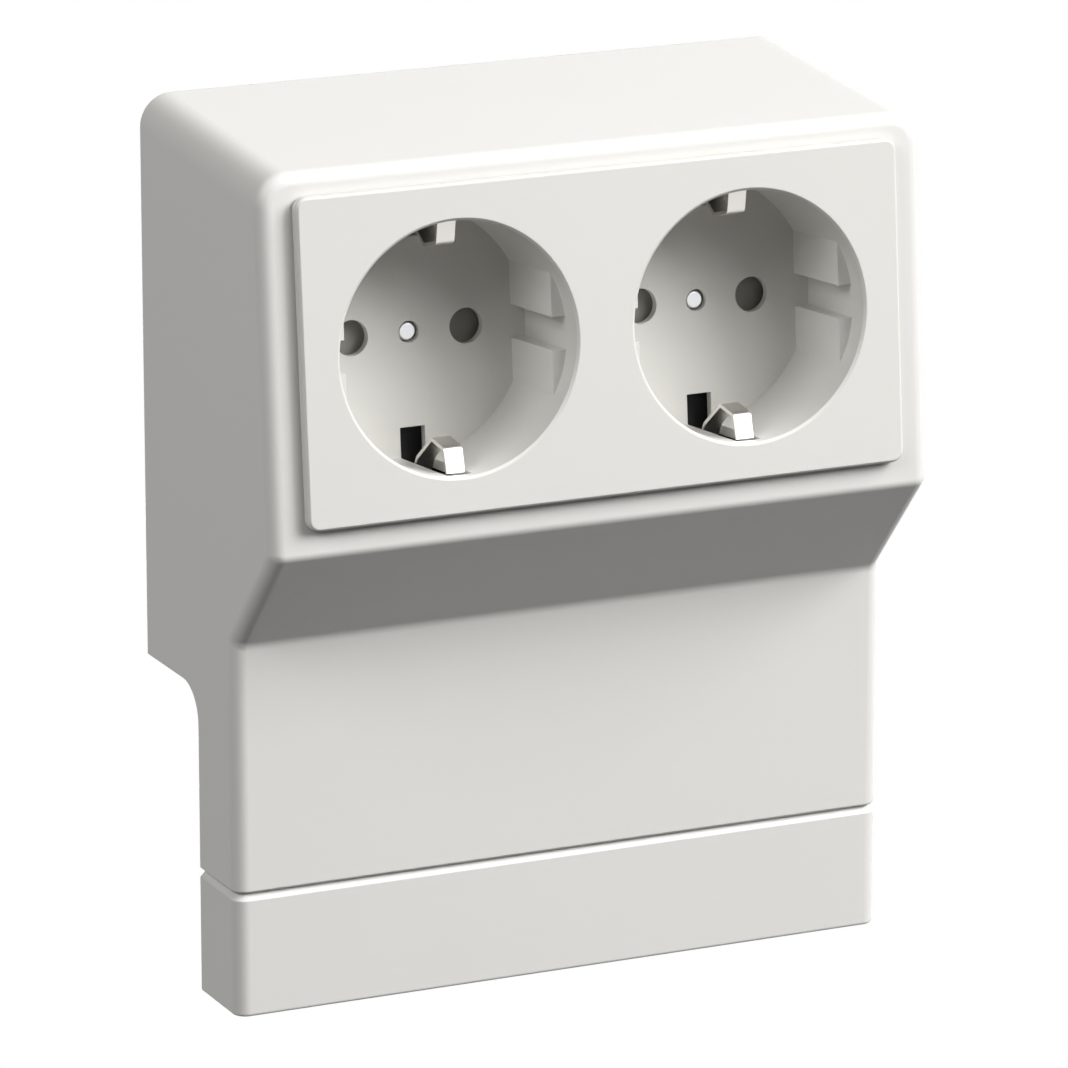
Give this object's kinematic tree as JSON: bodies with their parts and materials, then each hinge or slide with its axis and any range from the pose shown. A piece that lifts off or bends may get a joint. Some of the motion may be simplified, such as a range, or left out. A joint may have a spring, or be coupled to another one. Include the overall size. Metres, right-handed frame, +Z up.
{
  "type": "double trunking socket",
  "caption": "Surface wall socket for plugs with round pins and side earth contacts, whose moulded cover with a tilted face straddles a skirting trunking.",
  "frame": {"origin": "middle between the two wall-screw slots, on the wall plane", "axes": "+X to the right seen from the room, +Y into the wall, +Z up"},
  "size_m": [0.11, 0.0524, 0.1377],
  "materials": {
    "cover_plastic": "satin off-white moulding",
    "plate_plastic": "smooth off-white moulding",
    "base_plastic": "plain light grey moulding",
    "insulator": "plain grey thermoset",
    "shutter_plastic": "plain grey",
    "spring_steel": "bright",
    "plated_brass": "nickel plated",
    "brass": "plain",
    "zinc_steel": "zinc plated"
  },
  "bodies": {
    "socket": {"housing": "cover_plastic", "base_strip": "cover_plastic", "socket_plate": "plate_plastic", "mounting_base": "base_plastic", "contact_base": "insulator", "contact_cover": "insulator", "shutter_spring_left": "spring_steel", "shutter_spring_right": "spring_steel", "live_terminal_spring": "spring_steel", "neutral_terminal_spring": "spring_steel", "earth_terminal_spring": "spring_steel", "earth_clip_left": "plated_brass", "earth_clip_right": "plated_brass", "live_bar": "brass", "neutral_bar": "brass", "earth_bar": "brass", "live_contact_left": "brass", "live_contact_right": "brass", "neutral_contact_left": "brass", "neutral_contact_right": "brass", "live_terminal": "brass", "neutral_terminal": "brass", "earth_terminal": "brass", "assembly_screws": "zinc_steel"},
    "left_shutter": {"shutter_left": "shutter_plastic"},
    "right_shutter": {"shutter_right": "shutter_plastic"}
  },
  "joints": [
    {"name": "left_shutter_turn", "type": "hinge", "parent": "socket", "child": "left_shutter", "pos_m": [-0.0242, -0.02822, 0.00914], "axis": [0, 0.9966, -0.0819], "range_deg": [0, 40], "stiffness_Nm_per_rad": 0.002, "springref_deg": -20.05, "deforming": ["shutter_spring_left"]},
    {"name": "right_shutter_turn", "type": "hinge", "parent": "socket", "child": "right_shutter", "pos_m": [0.0242, -0.02822, 0.00914], "axis": [0, 0.9966, -0.0819], "range_deg": [0, 40], "stiffness_Nm_per_rad": 0.002, "springref_deg": -20.05, "deforming": ["shutter_spring_right"]}
  ]
}
